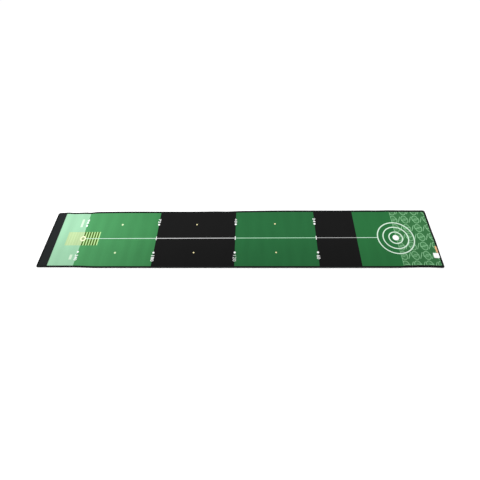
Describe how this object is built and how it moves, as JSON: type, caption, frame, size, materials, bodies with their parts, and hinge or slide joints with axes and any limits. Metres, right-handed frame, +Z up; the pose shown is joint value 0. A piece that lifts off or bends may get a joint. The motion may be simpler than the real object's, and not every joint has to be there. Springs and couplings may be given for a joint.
{
  "type": "practice putting mat",
  "caption": "Long flat golf putting mat: printed pile on a rubber backing, taped edges, start band, distance marks and a ring target.",
  "frame": {"origin": "on the floor, under the middle of the mat", "axes": "+X along the mat towards the target end, +Y across the mat towards the far side, +Z up"},
  "size_m": [3, 0.5, 0.0042],
  "materials": {
    "backing_rubber": "matt black rubber with raised grip dots",
    "felt": "grey needled felt",
    "pile_print": "short dense pile with a dyed print in greens and black",
    "binding_tape": "black woven binding tape",
    "black_thread": "black polyester sewing thread",
    "band_fabric": "charcoal close-woven fabric",
    "white_label": "white satin-woven label",
    "orange_tag": "peach-orange satin-woven tag"
  },
  "bodies": {
    "mat": {"non_slip_backing": "backing_rubber", "felt_interlining": "felt", "printed_pile_face": "pile_print", "edge_binding": "binding_tape", "binding_needle_thread": "black_thread", "binding_bobbin_thread": "black_thread", "start_end_band": "band_fabric", "start_band_needle_thread": "black_thread", "start_band_bobbin_thread": "black_thread"},
    "care_label": {"care_label": "white_label"},
    "side_tag": {"side_tag": "orange_tag"}
  },
  "joints": [
    {"name": "care_label_flip", "type": "hinge", "parent": "mat", "child": "care_label", "pos_m": [1.4883, -0.153, 0.0045], "axis": [0, 1, 0], "range_deg": [0, 175]},
    {"name": "side_tag_flip", "type": "hinge", "parent": "mat", "child": "side_tag", "pos_m": [1.4883, -0.1035, 0.0045], "axis": [0, 1, 0], "range_deg": [0, 175]}
  ]
}
